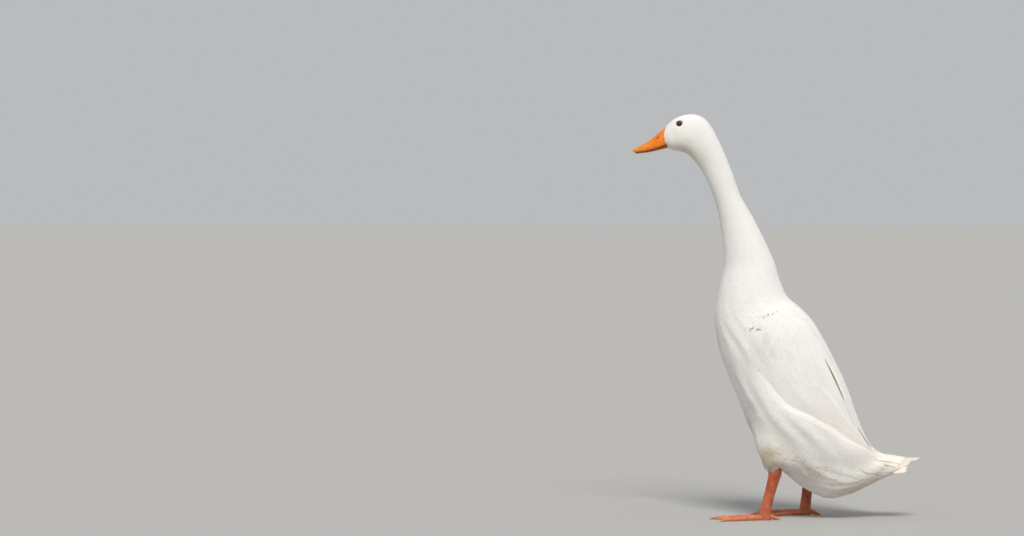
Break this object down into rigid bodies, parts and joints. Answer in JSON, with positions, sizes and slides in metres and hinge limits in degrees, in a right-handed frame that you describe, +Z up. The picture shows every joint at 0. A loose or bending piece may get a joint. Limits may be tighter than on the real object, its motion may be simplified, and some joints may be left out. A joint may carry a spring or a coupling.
{
  "type": "indian runner duck",
  "caption": "Life-size model of a white indian runner duck standing upright, with a long neck, orange bill, folded wings, short tail and webbed feet.",
  "frame": {"origin": "on the floor, under the middle of the duck's bounding box", "axes": "-X towards the bill, +X towards the tail, -Y towards the duck's left side, +Z up"},
  "size_m": [0.3874, 0.1272, 0.543],
  "materials": {
    "plumage": "soft matte white feathers",
    "wing_plumage": "smooth matte white feathers, tinted cream",
    "tail_plumage": "smooth matte white feathers",
    "bill": "satin orange horn",
    "leg": "scaly orange-red skin",
    "eye": "wet dark brown"
  },
  "bodies": {
    "root": {"bill_lower": "bill", "bill_upper": "bill", "eye_left": "eye", "eye_right": "eye", "foot_left": "leg", "foot_right": "leg", "head": "plumage", "neck_lower": "plumage", "neck_upper": "plumage", "shank_left": "leg", "shank_right": "leg", "tail": "tail_plumage", "thigh_left": "plumage", "thigh_right": "plumage", "torso": "plumage", "wing_left": "wing_plumage", "wing_right": "wing_plumage"}
  },
  "joints": []
}
